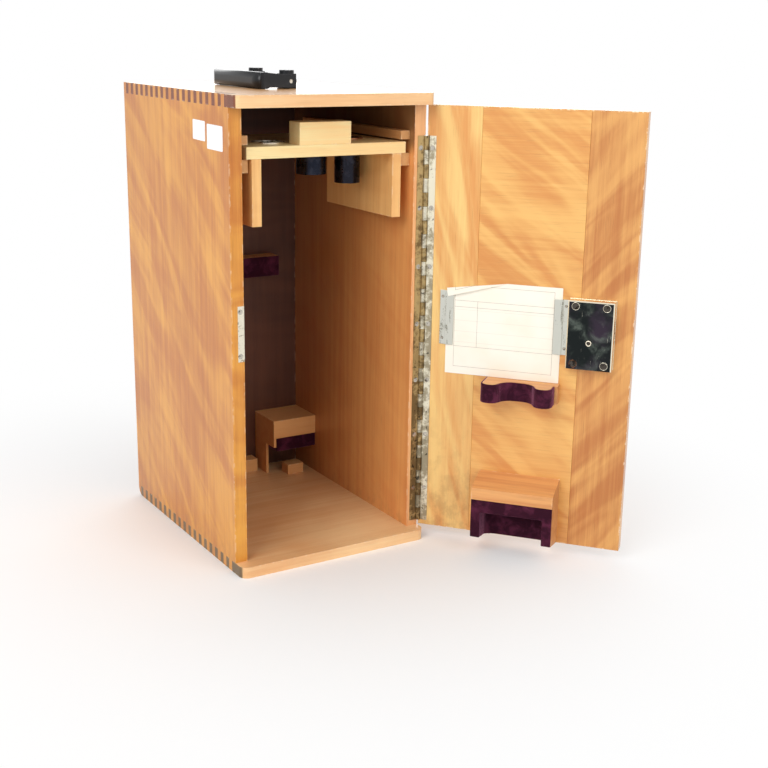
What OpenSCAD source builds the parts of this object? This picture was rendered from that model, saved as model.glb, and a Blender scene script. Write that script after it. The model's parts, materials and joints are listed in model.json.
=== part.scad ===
// Upright wooden carrying case, standing with its side-hinged door open.
// Millimetres. X runs across the case to the hinge side, Y runs to the back, Z is up.
// The origin is the centre of the underside of the bottom board.

/* [Carcass] */
// Overall width of the carcass
case_w = 197.5; // [190:0.5:230]
// Overall height of the carcass
case_h = 430; // [420:1:470]
// Depth of the side boards, front edge to back
side_depth = 241; // [220:1:280]
// Thickness of the side boards
side_t = 12; // [10:0.5:14]
// Thickness of the top board
top_t = 10.6; // [9:0.1:14]
// Thickness of the bottom board
bottom_t = 10.6; // [10:0.1:14]
// Thickness of the back board
back_t = 8; // [6:0.5:12]
// How far the top and bottom boards reach in front of the sides
lip = 15; // [13:0.1:18]
// Width of the first finger at the front of each corner joint
front_finger = 7.6; // [6:0.1:12]
// Number of equal fingers behind the first one
finger_count = 37; // [25:2:45]
// Radius of the bottom edge at the back
back_edge_r = 9.5; // [4:0.5:9.5]
// Radius of the front corners of the bottom board
foot_corner_r = 8; // [4:0.5:12]
// Radius of the front corners of the top board
top_corner_r = 5; // [1:0.5:6]

/* [Door] */
// How far the door reaches past the carcass at its lock edge
door_over = 1; // [0:0.5:2]
// Thickness of the door
door_t = 13.2; // [11:0.1:15]
// Gap between the closed door and the front edges of the sides
door_gap = 1.6; // [1.5:0.1:2.4]
// Gap above and below the door
door_play = 0.5; // [0.3:0.1:1]
// Angle at which the door stands open
door_open = 129.66; // [0:0.01:170]
// Width of the board at the hinge edge
hinge_board_w = 51.5; // [45:0.5:60]
// Width of the board at the lock edge
lock_board_w = 49; // [42:0.5:60]

/* [Piano hinge] */
// Height of the lower end of the hinge above the ground
hinge_z = 16; // [14:1:40]
// Distance of the upper end of the hinge below the top of the case
hinge_top_gap = 39; // [14:1:60]
// Radius of the knuckles
knuckle_r = 2.7; // [2.4:0.1:3.2]
// Radius of the hinge pin
hinge_pin_r = 1.1; // [0.8:0.1:1.4]
// Thickness of a leaf
leaf_t = 0.7; // [0.5:0.05:0.72]
// Width of a leaf from the pin to its far edge
leaf_w = 9.2; // [8.5:0.1:10]
// Number of knuckles
knuckle_count = 29; // [21:2:35]
// Number of screws in each leaf
hinge_screw_count = 7; // [5:1:9]
// Distance from the lower end of the hinge to the lowest screw
hinge_screw_low = 34; // [8:1:40]
// Distance from the upper end of the hinge to the highest screw
hinge_screw_high = 11; // [8:1:40]

/* [Lock] */
// Distance of the lock case from the lock edge of the door
lock_inset = 16.5; // [14:0.1:18]
// Width of the lock case
lock_w = 42.3; // [39:0.1:44]
// Height of the lock case above the ground
lock_z = 187.5; // [150:0.5:230]
// Height of the lock case itself
lock_h = 63.5; // [60:0.5:70]
// Depth of the lock case, base plate included
lock_d = 11; // [9:0.1:12]
// Wall of the lock case
lock_wall = 1.2; // [0.8:0.1:1.6]
// Bevel round the face of the lock case
lock_bevel = 1; // [0.4:0.1:1.4]
// Thickness of the base plate
base_plate_t = 1; // [0.6:0.1:1.5]
// How far the base plate shows round the lock case
base_plate_rim = 0.3; // [0:0.1:2.2]
// Travel of the bolt
bolt_throw = 9; // [7:0.5:9.5]
// Height of the bolt
bolt_h = 16; // [12:0.5:18]
// Thickness of the bolt
bolt_t = 3; // [2:0.1:3.2]
// Height of the strike plate
strike_h = 50; // [36:1:60]
// Width of the strike plate on the front edge
strike_w = 6.2; // [5:0.1:8]

/* [Tray] */
// Gap between each end of the tray board and the side beside it
tray_side_gap = 6.5; // [6:0.1:8]
// Depth of the tray, front to back
tray_depth = 122; // [100:1:150]
// Thickness of the tray board
tray_t = 10.4; // [8:0.1:11]
// Distance of the tray's front from the front edges of the sides
tray_set_back = 4.5; // [2:0.5:12]
// Distance of the ledges that carry the tray below the top of the case
ledge_drop = 54.9; // [52:0.1:80]
// Thickness of the two legs
leg_t = 9.2; // [7:0.1:12]
// Height of the two legs
leg_h = 58; // [45:1:75]
// Distance of the legs from the ends of the tray board
leg_inset = 4.8; // [4.4:0.1:8]
// Width of the grip block
grip_w = 51.6; // [40:0.1:56]
// Depth of the grip block
grip_d = 19.8; // [12:0.1:24]
// Height of the grip block
grip_h = 19.6; // [12:0.1:24]
// Outer radius of the shallow cup at the left
left_cup_r = 13; // [8:0.5:16]
// Depth of the shallow cup at the left
left_cup_depth = 8.5; // [6:0.5:30]
// Outer radius of the middle cup
middle_cup_r = 14; // [8:0.5:16]
// Depth of the middle cup
middle_cup_depth = 31.5; // [12:0.5:45]
// Outer radius of the cup at the right
right_cup_r = 12; // [8:0.5:15]
// Depth of the cup at the right
right_cup_depth = 40.5; // [12:0.5:45]

/* [Runners] */
// Distance that the runners stand out from the sides
runner_w = 9.5; // [8.5:0.1:9.8]
// Height of the lower runners
lower_runner_h = 11.5; // [8:0.1:15]
// Height of the upper runners
upper_runner_h = 8; // [6:0.1:12]
// Height of the groove between the runners
groove_h = 12.2; // [11.8:0.1:14]
// Distance of the runners' front ends from the front edges of the sides
runner_set_back = 8; // [4:0.5:20]
// Length of the runners
runner_len = 190; // [130:1:200]

/* [Blocks in the case] */
// Width of each of the two bridges at the back
bridge_w = 51; // [40:0.5:58]
// Depth of each bridge
bridge_d = 46; // [38:0.5:52]
// Height of the top of each bridge above the ground
bridge_top = 75; // [70:0.5:90]
// Height of the wooden part of each bridge
bridge_h = 20; // [14:0.5:26]
// Thickness of the velvet pad under each bridge
bridge_pad_t = 15; // [6:0.5:18]
// Thickness of each bridge's cheek
cheek_t = 3; // [2:0.5:6]
// Depth of the pad block on the back board, velvet included
back_pad_d = 20; // [14:0.5:28]
// Width of the pad block
back_pad_w = 113; // [80:1:130]
// Height of the pad block
back_pad_h = 21; // [15:0.5:30]
// Height of the underside of the pad block above the ground
back_pad_z = 229; // [200:1:260]
// Thickness of the velvet linings
velvet_t = 1.6; // [1:0.1:2.5]

/* [Blocks on the door] */
// Distance of the upper cradle from the hinge edge of the door
cradle_s = 65.4; // [62:0.1:68]
// Height of the underside of the upper cradle above the ground
cradle_z = 151; // [130:0.5:160]
// Height of the upper cradle
cradle_h = 18; // [12:0.5:20]
// Depth of the upper cradle in its valley
cradle_base = 10.5; // [7:0.5:12]
// Depth of the upper cradle at its two lobes
lobe_out = 26; // [23:0.1:30]
// Width of a lobe
lobe_w = 14.5; // [13:0.1:17]
// Distance between the two lobes
lobe_gap = 35.5; // [31:0.5:44]
// Distance of the lower cradle from the hinge edge of the door
foot_cradle_s = 61; // [50:0.5:66]
// Width of the lower cradle
foot_cradle_w = 78; // [70:0.5:90]
// Depth of the lower cradle
foot_cradle_d = 31; // [24:0.5:40]
// Width of a leg of the lower cradle
foot_leg_w = 7.5; // [6:0.5:15]
// Height of the recess in the lower cradle above the ground
foot_recess_z = 45; // [36:0.5:52]

/* [Record card] */
// Distance of the record card from the hinge edge of the door
card_s = 23; // [20:0.5:40]
// Gap between the record card and the lock case
card_lock_gap = 7.1; // [7:0.1:12]
// Height of the record card
card_h = 90; // [80:0.5:95]
// Length of the card's metal rails
rail_h = 52; // [40:0.5:60]
// Width of a rail
rail_w = 13.4; // [11:0.1:13.4]

/* [Handle] */
// Length of the handle along the case's depth
handle_len = 99; // [96:1:120]
// Reach of the handle from its pivot to the outside of the grip
handle_reach = 35.5; // [30:0.5:45]
// Width of the grip
handle_grip_w = 15; // [12:0.5:16]
// Height of the grip
handle_grip_h = 14.6; // [12:0.1:16]
// Gap between a post and the handle's arm beside it
post_gap = 0.9; // [0.6:0.1:1.2]
// Radius of a post's cap
cap_r = 6.8; // [5:0.1:7]

/* [Hidden] */
$fn = 48;

// Overshoot of cutting tools past the faces that they cut
over = 1;
// Running clearance of turned pieces in their holes
bore_fit = 0.05;
// Clearance between bodies that slide or rest on each other
part_gap = 0.3;

// Planes of the carcass
x_side = case_w / 2;
x_inner = x_side - side_t;
y_lip = -(side_depth + lip) / 2;
y_front = y_lip + lip;
y_back = y_front + side_depth;
y_wall = y_back - back_t;
z_ceiling = case_h - top_t;
finger_w = (side_depth - front_finger) / finger_count;
door_w = case_w + door_over;

// Hinge
pin_out = 0.6;
pin_x = x_side + pin_out;
pin_y = y_front - door_gap / 2;
hinge_len = case_h - hinge_z - hinge_top_gap;
knuckle_pitch = hinge_len / knuckle_count;
knuckle_end_gap = 0.15;
knuckle_clear_r = knuckle_r + part_gap;
hinge_screw_x = 5.9;
hinge_screw_pitch = (hinge_len - hinge_screw_low - hinge_screw_high) / (hinge_screw_count - 1);
screw_head_r = 2.3;
screw_head_h = 1.2;
screw_r = 1.1;
screw_len = 9;
slot_w = 0.6;
slot_depth = 0.4;

// Door
door_z = bottom_t + door_play;
door_h = z_ceiling - door_play - door_z;

// Lock, in the door's own measures
lock_s = door_w - lock_inset - lock_w;
key_s = lock_s + 20.5;
key_z = lock_z + 25.2;
bolt_n = base_plate_t + 2.2;
bolt_z = key_z + 4.4;
bolt_clear = 0.3;
bolt_tail = 12;
bolt_s0 = key_s - bolt_tail;
bolt_s1 = lock_s + lock_w - 0.1;
talon_w = 5;
talon_h = 4;
stud_z = bolt_z + 10.4;
stud_r = 1.6;
stud_cap_r = 2.8;
stud_cap_t = 1;
lock_screw_r = 1.6;
lock_screw_head_r = 3.5;
lock_screw_top_r = 2.8;
lock_screw_head_h = 0.9;
lock_screw_inset_s = 7;
lock_screw_inset_z = 5;
lock_screw_len = 20;
key_pin_r = 1.1;
key_boss_r = 3;
key_boss_h = 0.8;
key_boss_hole_r = 1.25;
key_pin_reach = 6;
keyhole_r = 1.95;
keyhole_slot_w = 1.8;
keyhole_slot_h = 6;

// Strike plate
strike_t = 1;
strike_proud = 0.4;
strike_depth = 12;
strike_z = bolt_z + bolt_h / 2 - strike_h / 2;
strike_screw_inset = 5;
bolt_pocket_depth = bolt_s1 + bolt_throw - case_w + side_t + bolt_clear;

// Card and its rails, in the door's own measures
card_w = lock_s - card_lock_gap - card_s;
card_t = 0.4;
card_n = 0.2;
card_fold = 8;
card_z = cradle_z + cradle_h + part_gap;
rail_t = 0.7;
rail_z = 197;
rail_lip = card_n + card_t + part_gap;
rail_land = 6;
card_side_gap = 0.4;
nail_r = 0.6;
nail_head_r = 1.4;
nail_top_r = 1;
nail_head_h = 0.5;
nail_len = 7;
nail_inset = 6;

// Cradles on the door, in the door's own measures
lobe_r = 6.4;
valley_r = 14;
valley_ledge = 0.4;
shoulder_w = 4.2;
foot_cradle_top_back = 75.5;
foot_cradle_top_front = 67.5;
foot_cradle_low_back = 11.6;
foot_cradle_low_front = 18;
foot_velvet_top = 56;
foot_recess_r = 13;

// Bridges, chocks and strip
bridge_x = x_inner - bridge_w;
bridge_y = y_wall - bridge_d;
cheek_notch_d = 19;
cheek_notch_z = 45;
chock_w = 19;
chock_d = 15;
chock_h = 11;
chock_inset = 13.5;
chock_set_back = 3;
strip_gap = 4.75;
strip_w = 2 * (bridge_x - strip_gap);
strip_d = 15;
strip_h = 14;

// Tray
tray_w = 2 * (x_inner - tray_side_gap);
ledge_z = case_h - ledge_drop;
tray_z = ledge_z + part_gap;
tray_top = tray_z + tray_t;
tray_y = y_front + tray_set_back;
grip_shift = -3.3;
cup_wall = 1.4;
cup_flange = 2.6;
cup_flange_t = 1.2;
cup_fit = 0.1;
left_cup_at = [-43, 34];
right_cup_inset = 32.75;
middle_cup_step = 35.2;
right_cup_at = [tray_w / 2 - right_cup_inset, 50];
middle_cup_at = [right_cup_at[0] - middle_cup_step, 55.5];

// Handle
pivot_x = -0.8;
handle_y = 10;
pivot_h = 6.9;
pivot_z = case_h + pivot_h;
handle_pin_r = 1.8;
arm_w = 9.2;
arm_boss_r = 5.4;
arm_arch = 1.2;
grip_round = 5;
bow_r = 10;
bow_inner_r = 5;
post_w = 13;
post_d = 14.4;
post_h = 13.3;
post_half = handle_len / 2 - arm_w - post_gap - post_d / 2;
post_shift = 4;
cap_t = 3;
pin_head_r = 2.6;
pin_head_t = 0.8;
pin_recess = 0.6;

function finger_y(i) = y_front + front_finger + i * finger_w;
function hinge_screw_z(i) = hinge_z + hinge_screw_low + i * hinge_screw_pitch;

// Moves what is drawn in the door's own measures to the open door:
// X from the hinge edge, Y out of the inner face, Z up
module on_door() {
    translate([pin_x, pin_y, 0])
        rotate([0, 0, door_open])
            translate([-pin_out, -door_gap / 2, 0])
                mirror([1, 0, 0]) children();
}

// A post that rounds a vertical edge standing at the origin, with the wood towards +X and +Y
module edge_cutter(h, r) {
    linear_extrude(h)
        difference() {
            translate([-over, -over]) square(r + over);
            translate([r, r]) circle(r);
        }
}

// The places where a side board's fingers fill the end of the top or bottom board
module side_fingers(x0, z0) {
    for (i = [0 : 2 : finger_count - 1])
        translate([x0, finger_y(i), z0]) cube([side_t + over, finger_w, max(top_t, bottom_t) + 2 * over]);
}

// The places where the top or bottom board's fingers fill the end of a side board
module board_fingers(z0, h) {
    translate([-over, y_front - over, z0]) cube([side_t + 2 * over, front_finger + over, h]);
    for (i = [1 : 2 : finger_count - 2])
        translate([-over, finger_y(i), z0]) cube([side_t + 2 * over, finger_w, h]);
}

// Rounds the lower back edge over the whole width
module back_edge_cutter() {
    translate([-x_side - over, y_back, 0])
        rotate([90, 0, 90])
            linear_extrude(case_w + 2 * over)
                difference() {
                    translate([-back_edge_r, -over]) square(back_edge_r + over);
                    translate([-back_edge_r, back_edge_r]) circle(back_edge_r);
                }
}

module side_board(x0) {
    difference() {
        translate([x0, y_front, 0]) cube([side_t, side_depth, case_h]);
        translate([x0, 0, 0]) board_fingers(-over, bottom_t + over);
        translate([x0, 0, 0]) board_fingers(z_ceiling, top_t + over);
        back_edge_cutter();
    }
}

module end_board(z0, t, corner_r) {
    difference() {
        translate([-x_side, y_lip, z0]) cube([case_w, side_depth + lip, t]);
        side_fingers(-x_side - over, z0 - over);
        side_fingers(x_inner, z0 - over);
        for (m = [0, 1])
            mirror([m, 0, 0])
                translate([-x_side, y_lip, z0 - over]) edge_cutter(t + 2 * over, corner_r);
        back_edge_cutter();
    }
}

// A countersunk screw that enters wood along +Y, its head flush with Y = 0
module screw(grow, slotted) {
    rotate([-90, 0, 0])
        difference() {
            union() {
                cylinder(h = screw_head_h, r1 = screw_head_r + grow, r2 = screw_r + grow);
                cylinder(h = screw_len + grow, r = screw_r + grow);
            }
            if (slotted)
                translate([-screw_head_r, -slot_w / 2, -over])
                    cube([2 * screw_head_r, slot_w, slot_depth + over]);
        }
}

// The row of screws of one leaf, seen from the pin, with the wood towards +Y
module leaf_screws(grow, slotted) {
    for (i = [0 : hinge_screw_count - 1])
        translate([-hinge_screw_x, door_gap / 2 - leaf_t, hinge_screw_z(i)]) screw(grow, slotted);
}

// The knuckles of one leaf, as full bars
module knuckles(first, r) {
    for (i = [first : 2 : knuckle_count - 1])
        translate([0, 0, hinge_z + i * knuckle_pitch + knuckle_end_gap])
            cylinder(h = knuckle_pitch - 2 * knuckle_end_gap, r = r);
}

// One leaf seen from the pin, lying against wood towards +Y
module leaf(first) {
    difference() {
        union() {
            translate([-leaf_w, door_gap / 2 - leaf_t, hinge_z])
                cube([leaf_w - knuckle_clear_r, leaf_t, hinge_len]);
            knuckles(first, knuckle_r);
            for (i = [first : 2 : knuckle_count - 1])
                translate([-knuckle_clear_r - over, door_gap / 2 - leaf_t,
                        hinge_z + i * knuckle_pitch + knuckle_end_gap])
                    cube([knuckle_clear_r + over, leaf_t, knuckle_pitch - 2 * knuckle_end_gap]);
        }
        translate([0, 0, hinge_z - over]) cylinder(h = hinge_len + 2 * over, r = hinge_pin_r + bore_fit);
        leaf_screws(bore_fit, false);
    }
}

// The rebate that the knuckles need in a board's corner, seen from the pin
module knuckle_rebate() {
    translate([0, 0, hinge_z - part_gap])
        cylinder(h = hinge_len + 2 * part_gap, r = knuckle_clear_r);
}

module left_side() {
    color("#b8713a")
        difference() {
            side_board(-x_side);
            strike_shape(0);
            bolt_pocket(bolt_pocket_depth);
            strike_screw_row(bore_fit, false);
        }
}

module right_side() {
    color("#b8713a")
        difference() {
            side_board(x_inner);
            translate([pin_x, pin_y, 0]) knuckle_rebate();
            translate([pin_x, pin_y, 0]) leaf_screws(bore_fit, false);
        }
}

module top_board() {
    color("#c07a3e")
        end_board(z_ceiling, top_t, top_corner_r);
}

module bottom_board() {
    color("#c07a3e")
        end_board(0, bottom_t, foot_corner_r);
}

module back_board() {
    color("#a8642f")
        translate([-x_inner, y_wall, bottom_t]) cube([2 * x_inner, back_t, z_ceiling - bottom_t]);
}

module runner(side, z0, h) {
    color("#d79a55")
        translate([side < 0 ? -x_inner : x_inner - runner_w, y_front + runner_set_back, z0])
            cube([runner_w, runner_len, h]);
}

module lower_runner_left() {
    runner(-1, ledge_z - lower_runner_h, lower_runner_h);
}

module lower_runner_right() {
    runner(1, ledge_z - lower_runner_h, lower_runner_h);
}

module upper_runner_left() {
    runner(-1, ledge_z + groove_h, upper_runner_h);
}

module upper_runner_right() {
    runner(1, ledge_z + groove_h, upper_runner_h);
}

// The wooden part of the right bridge with its stepped cheek
module bridge() {
    bridge_low = bridge_top - bridge_h;
    color("#cf9150") {
        translate([bridge_x, bridge_y, bridge_low]) cube([bridge_w, bridge_d, bridge_h]);
        translate([bridge_x, bridge_y + cheek_notch_d, bottom_t])
            cube([cheek_t, bridge_d - cheek_notch_d, bridge_low - bottom_t]);
        translate([bridge_x, bridge_y, cheek_notch_z])
            cube([cheek_t, cheek_notch_d, bridge_low - cheek_notch_z]);
    }
}

module bridge_pad() {
    color("#4a1f33")
        translate([bridge_x + cheek_t, bridge_y, bridge_top - bridge_h - bridge_pad_t])
            cube([bridge_w - cheek_t, bridge_d, bridge_pad_t]);
}

module chock() {
    color("#c98a4a")
        translate([x_inner - chock_inset - chock_w, bridge_y + chock_set_back, bottom_t])
            cube([chock_w, chock_d, chock_h]);
}

module bridge_right() {
    bridge();
}

module bridge_left() {
    mirror([1, 0, 0]) bridge();
}

module bridge_pad_right() {
    bridge_pad();
}

module bridge_pad_left() {
    mirror([1, 0, 0]) bridge_pad();
}

module chock_right() {
    chock();
}

module chock_left() {
    mirror([1, 0, 0]) chock();
}

module heel_strip() {
    color("#c98a4a")
        translate([-strip_w / 2, y_wall - strip_d, bottom_t]) cube([strip_w, strip_d, strip_h]);
}

module back_pad_block() {
    color("#cf9150")
        translate([-back_pad_w / 2, y_wall - back_pad_d + velvet_t, back_pad_z])
            cube([back_pad_w, back_pad_d - velvet_t, back_pad_h]);
}

module back_pad_velvet() {
    color("#4a1f33")
        translate([-back_pad_w / 2, y_wall - back_pad_d, back_pad_z])
            cube([back_pad_w, velvet_t, back_pad_h]);
}

// The angle of the strike plate round the inner front corner of the left side
module strike_shape(grow) {
    translate([-x_inner - strike_w, y_front - strike_proud, strike_z])
        cube([strike_w, strike_t, strike_h]);
    translate([-x_inner - strike_t, y_front - strike_proud, strike_z])
        cube([strike_t + grow, strike_depth, strike_h]);
}

// The pocket that the thrown bolt enters
module bolt_pocket(depth) {
    translate([-x_inner - depth, y_front - door_gap + bolt_n - bolt_clear, bolt_z - bolt_clear])
        cube([depth + over, bolt_t + 2 * bolt_clear, bolt_h + 2 * bolt_clear]);
}

module strike_screw_row(grow, slotted) {
    for (z = [strike_z + strike_screw_inset, strike_z + strike_h - strike_screw_inset])
        translate([-x_inner - strike_w / 2 - strike_t / 2, y_front - strike_proud, z]) screw(grow, slotted);
}

module strike_plate() {
    color("#b9b7ae")
        difference() {
            strike_shape(0);
            bolt_pocket(bolt_pocket_depth);
            strike_screw_row(bore_fit, false);
        }
}

module strike_screws() {
    color("#a9a79e")
        strike_screw_row(0, true);
}

module hinge_case_leaf() {
    color("#b5a98c")
        translate([pin_x, pin_y, 0]) leaf(0);
}

module hinge_pin() {
    color("#8f8778")
        translate([pin_x, pin_y, hinge_z]) cylinder(h = hinge_len, r = hinge_pin_r);
}

module hinge_case_screws() {
    color("#a9a79e")
        translate([pin_x, pin_y, 0]) leaf_screws(0, true);
}

module hinge_door_leaf() {
    color("#b5a98c")
        translate([pin_x, pin_y, 0])
            rotate([0, 0, door_open])
                mirror([0, 1, 0]) leaf(1);
}

module hinge_door_screws() {
    color("#a9a79e")
        translate([pin_x, pin_y, 0])
            rotate([0, 0, door_open])
                mirror([0, 1, 0]) leaf_screws(0, true);
}

module door_hinge_board() {
    color("#c9833f")
        difference() {
            on_door()
                translate([0, -door_t, door_z]) cube([hinge_board_w, door_t, door_h]);
            translate([pin_x, pin_y, 0])
                rotate([0, 0, door_open]) {
                    knuckle_rebate();
                    mirror([0, 1, 0]) leaf_screws(bore_fit, false);
                }
            on_door() nail_row(bore_fit);
        }
}

module door_centre_board() {
    color("#d08f4c")
        on_door()
            difference() {
                translate([hinge_board_w, -door_t, door_z])
                    cube([door_w - hinge_board_w - lock_board_w, door_t, door_h]);
                nail_row(bore_fit);
                lock_screw_row(bore_fit, false);
            }
}

module door_lock_board() {
    color("#c9833f")
        on_door()
            difference() {
                translate([door_w - lock_board_w, -door_t, door_z]) cube([lock_board_w, door_t, door_h]);
                keyhole(door_t + over);
                lock_screw_row(bore_fit, false);
            }
}

// The keyhole through the door and the lock's base plate
module keyhole(depth) {
    translate([key_s, over, key_z])
        rotate([90, 0, 0]) cylinder(h = depth + over, r = keyhole_r);
    translate([key_s - keyhole_slot_w / 2, -depth, key_z - keyhole_slot_h])
        cube([keyhole_slot_w, depth + over, keyhole_slot_h]);
}

// The four screws that hold the lock, entering the door along -Y
module lock_screw_row(grow, slotted) {
    for (s = [lock_s + lock_screw_inset_s, lock_s + lock_w - lock_screw_inset_s],
            z = [lock_z + lock_screw_inset_z, lock_z + lock_h - lock_screw_inset_z])
        translate([s, lock_d, z])
            rotate([90, 0, 0])
                difference() {
                    union() {
                        cylinder(h = lock_screw_len, r = lock_screw_r + grow);
                        translate([0, 0, -lock_screw_head_h])
                            cylinder(h = lock_screw_head_h, r1 = lock_screw_top_r, r2 = lock_screw_head_r);
                    }
                    if (slotted)
                        translate([-lock_screw_head_r, -slot_w / 2, -lock_screw_head_h - over])
                            cube([2 * lock_screw_head_r, slot_w, slot_depth + over]);
                }
}

// A box with its outer face bevelled on all four sides
module bevelled_box(w, d, h, b) {
    intersection() {
        linear_extrude(h)
            polygon([[0, 0], [w, 0], [w, d - b], [w - b, d], [b, d], [0, d - b]]);
        rotate([90, 0, 90])
            linear_extrude(w)
                polygon([[0, 0], [d, 0], [d, b], [d, h - b], [d - b, h], [0, h]]);
    }
}

module lock_case() {
    color("#6d6a66")
        on_door()
            difference() {
                translate([lock_s, base_plate_t, lock_z])
                    bevelled_box(lock_w, lock_d - base_plate_t, lock_h, lock_bevel);
                translate([lock_s + lock_wall, -over, lock_z + lock_wall])
                    cube([lock_w - 2 * lock_wall, lock_d - lock_wall + over, lock_h - 2 * lock_wall]);
                translate([lock_s + lock_w - lock_wall - over, bolt_n - bolt_clear, bolt_z - bolt_clear])
                    cube([lock_wall + 2 * over, bolt_t + 2 * bolt_clear, bolt_h + 2 * bolt_clear]);
                translate([key_s, lock_d + over, key_z])
                    rotate([90, 0, 0]) cylinder(h = lock_wall + 2 * over, r = key_pin_r + bore_fit);
                lock_screw_row(bore_fit, false);
            }
}

module lock_base_plate() {
    color("#b9b7ae")
        on_door()
            difference() {
                translate([lock_s, 0, lock_z])
                    cube([lock_w + base_plate_rim, base_plate_t, lock_h + base_plate_rim]);
                keyhole(over);
                translate([0, base_plate_t, 0]) keyhole(over);
                lock_screw_row(bore_fit, false);
                stud(bore_fit);
            }
}

module lock_screws() {
    color("#c9c7be")
        on_door() lock_screw_row(0, true);
}

// The bolt with the slot that runs on the stud and the notch that the key turns in
module lock_bolt() {
    color("#b0aca0")
        on_door()
            difference() {
                translate([bolt_s0, bolt_n, bolt_z]) cube([bolt_s1 - bolt_s0, bolt_t, bolt_h]);
                translate([key_s - bolt_throw / 2 - talon_w / 2, bolt_n - over, bolt_z - over])
                    cube([talon_w, bolt_t + 2 * over, talon_h + over]);
                translate([key_s - bolt_throw, bolt_n - over, stud_z - stud_r - bolt_clear])
                    cube([bolt_throw, bolt_t + 2 * over, 2 * (stud_r + bolt_clear)]);
                for (s = [key_s - bolt_throw, key_s])
                    translate([s, bolt_n + bolt_t + over, stud_z])
                        rotate([90, 0, 0]) cylinder(h = bolt_t + 2 * over, r = stud_r + bolt_clear);
            }
}

// The stud, standing in the base plate
module stud(grow) {
    translate([key_s, 0, stud_z])
        rotate([-90, 0, 0]) cylinder(h = bolt_n + bolt_t + part_gap, r = stud_r + grow);
}

module bolt_stud() {
    color("#8f8b82")
        on_door() {
            stud(0);
            translate([key_s, bolt_n + bolt_t + part_gap, stud_z])
                rotate([-90, 0, 0]) cylinder(h = stud_cap_t, r = stud_cap_r);
        }
}

module key_pin() {
    color("#8f8b82")
        on_door()
            translate([key_s, lock_d, key_z])
                difference() {
                    union() {
                        rotate([-90, 0, 0]) cylinder(h = key_boss_h, r = key_boss_r);
                        rotate([90, 0, 0]) cylinder(h = lock_d + key_pin_reach, r = key_pin_r);
                    }
                    translate([0, key_boss_h / 2, 0])
                        rotate([-90, 0, 0]) cylinder(h = key_boss_h, r = key_boss_hole_r);
                }
}

// A rail that holds one side of the card: a land on the door and a lip over the card
module card_rail(s_card) {
    translate([s_card, 0, rail_z]) {
        translate([card_side_gap, 0, 0]) cube([rail_land, rail_t, rail_h]);
        translate([card_side_gap, 0, 0]) cube([rail_t, rail_lip + rail_t, rail_h]);
        translate([rail_land + card_side_gap - rail_w, rail_lip, 0])
            cube([rail_w - rail_land + rail_t, rail_t, rail_h]);
    }
}

module card_rail_right() {
    color("#b9b7ae")
        on_door()
            difference() {
                card_rail(card_s + card_w);
                nail_row(bore_fit);
            }
}

module card_rail_left() {
    color("#b9b7ae")
        on_door()
            difference() {
                translate([card_s, 0, 0])
                    mirror([1, 0, 0]) card_rail(0);
                nail_row(bore_fit);
            }
}

module nail_row(grow) {
    nail_side = card_side_gap + rail_land / 2 + rail_t / 2;
    for (s = [card_s - nail_side, card_s + card_w + nail_side],
            z = [rail_z + nail_inset, rail_z + rail_h - nail_inset])
        translate([s, rail_t, z])
            rotate([90, 0, 0]) {
                cylinder(h = nail_len, r = nail_r + grow);
                translate([0, 0, -nail_head_h])
                    cylinder(h = nail_head_h, r1 = nail_top_r, r2 = nail_head_r);
            }
}

module rail_nails() {
    color("#8f8b82")
        on_door() nail_row(0);
}

// The paper card with its torn upper corner at the hinge side
module record_card() {
    color("#efe3bd")
        on_door()
            translate([card_s, card_n + card_t, card_z])
                rotate([90, 0, 0])
                    linear_extrude(card_t)
                        polygon([[0, 0], [card_w, 0], [card_w, card_h], [card_w * 0.53, card_h],
                            [0, card_h - card_fold]]);
}

// Outline of the upper cradle, thicker by grow where velvet lies on it
module cradle_outline(grow) {
    lobe_s = [cradle_s, cradle_s + lobe_w + lobe_gap];
    lobe_n = lobe_out - lobe_r;
    bend = (cradle_base + valley_r - lobe_n) * (lobe_r + grow) / (lobe_r + valley_r);
    difference() {
        union() {
            translate([cradle_s - grow, 0])
                square([2 * lobe_w + lobe_gap + shoulder_w + grow, cradle_base + grow]);
            for (s = lobe_s) {
                translate([s - grow, 0]) square([lobe_w + 2 * grow, lobe_n]);
                translate([s + lobe_r, 0]) square([lobe_w - 2 * lobe_r, lobe_out + grow]);
                for (c = [s + lobe_r, s + lobe_w - lobe_r])
                    translate([c, lobe_n]) circle(lobe_r + grow);
            }
            translate([cradle_s + lobe_w - lobe_r, 0])
                square([lobe_gap + 2 * lobe_r, lobe_n + bend]);
        }
        valley(grow);
    }
}

// The hollow between the lobes: its wide curves run on from the round lobes
module valley(grow) {
    fall = cradle_base + valley_r - lobe_out + lobe_r;
    run = sqrt((lobe_r + valley_r) * (lobe_r + valley_r) - fall * fall) + valley_ledge - lobe_r;
    s0 = cradle_s + lobe_w + run;
    s1 = cradle_s + lobe_w + lobe_gap - run;
    n0 = cradle_base + valley_r;
    for (s = [s0, s1])
        translate([s, n0]) circle(valley_r - grow);
    translate([s0, cradle_base + grow]) square([s1 - s0, valley_r + over]);
}

module upper_cradle() {
    color("#cf9150")
        on_door()
            translate([0, 0, cradle_z]) linear_extrude(cradle_h) cradle_outline(0);
}

module upper_cradle_velvet() {
    color("#5a2440")
        on_door()
            translate([0, 0, cradle_z])
                linear_extrude(cradle_h)
                    difference() {
                        cradle_outline(velvet_t);
                        cradle_outline(0);
                        translate([cradle_s + 2 * lobe_w + lobe_gap + velvet_t, 0])
                            square([shoulder_w, lobe_out]);
                    }
}

// Side view of the lower cradle: depth along X, height along Y
module foot_profile() {
    polygon([[0, foot_cradle_low_back], [foot_cradle_d, foot_cradle_low_front],
        [foot_cradle_d, foot_cradle_top_front], [0, foot_cradle_top_back]]);
}

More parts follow.
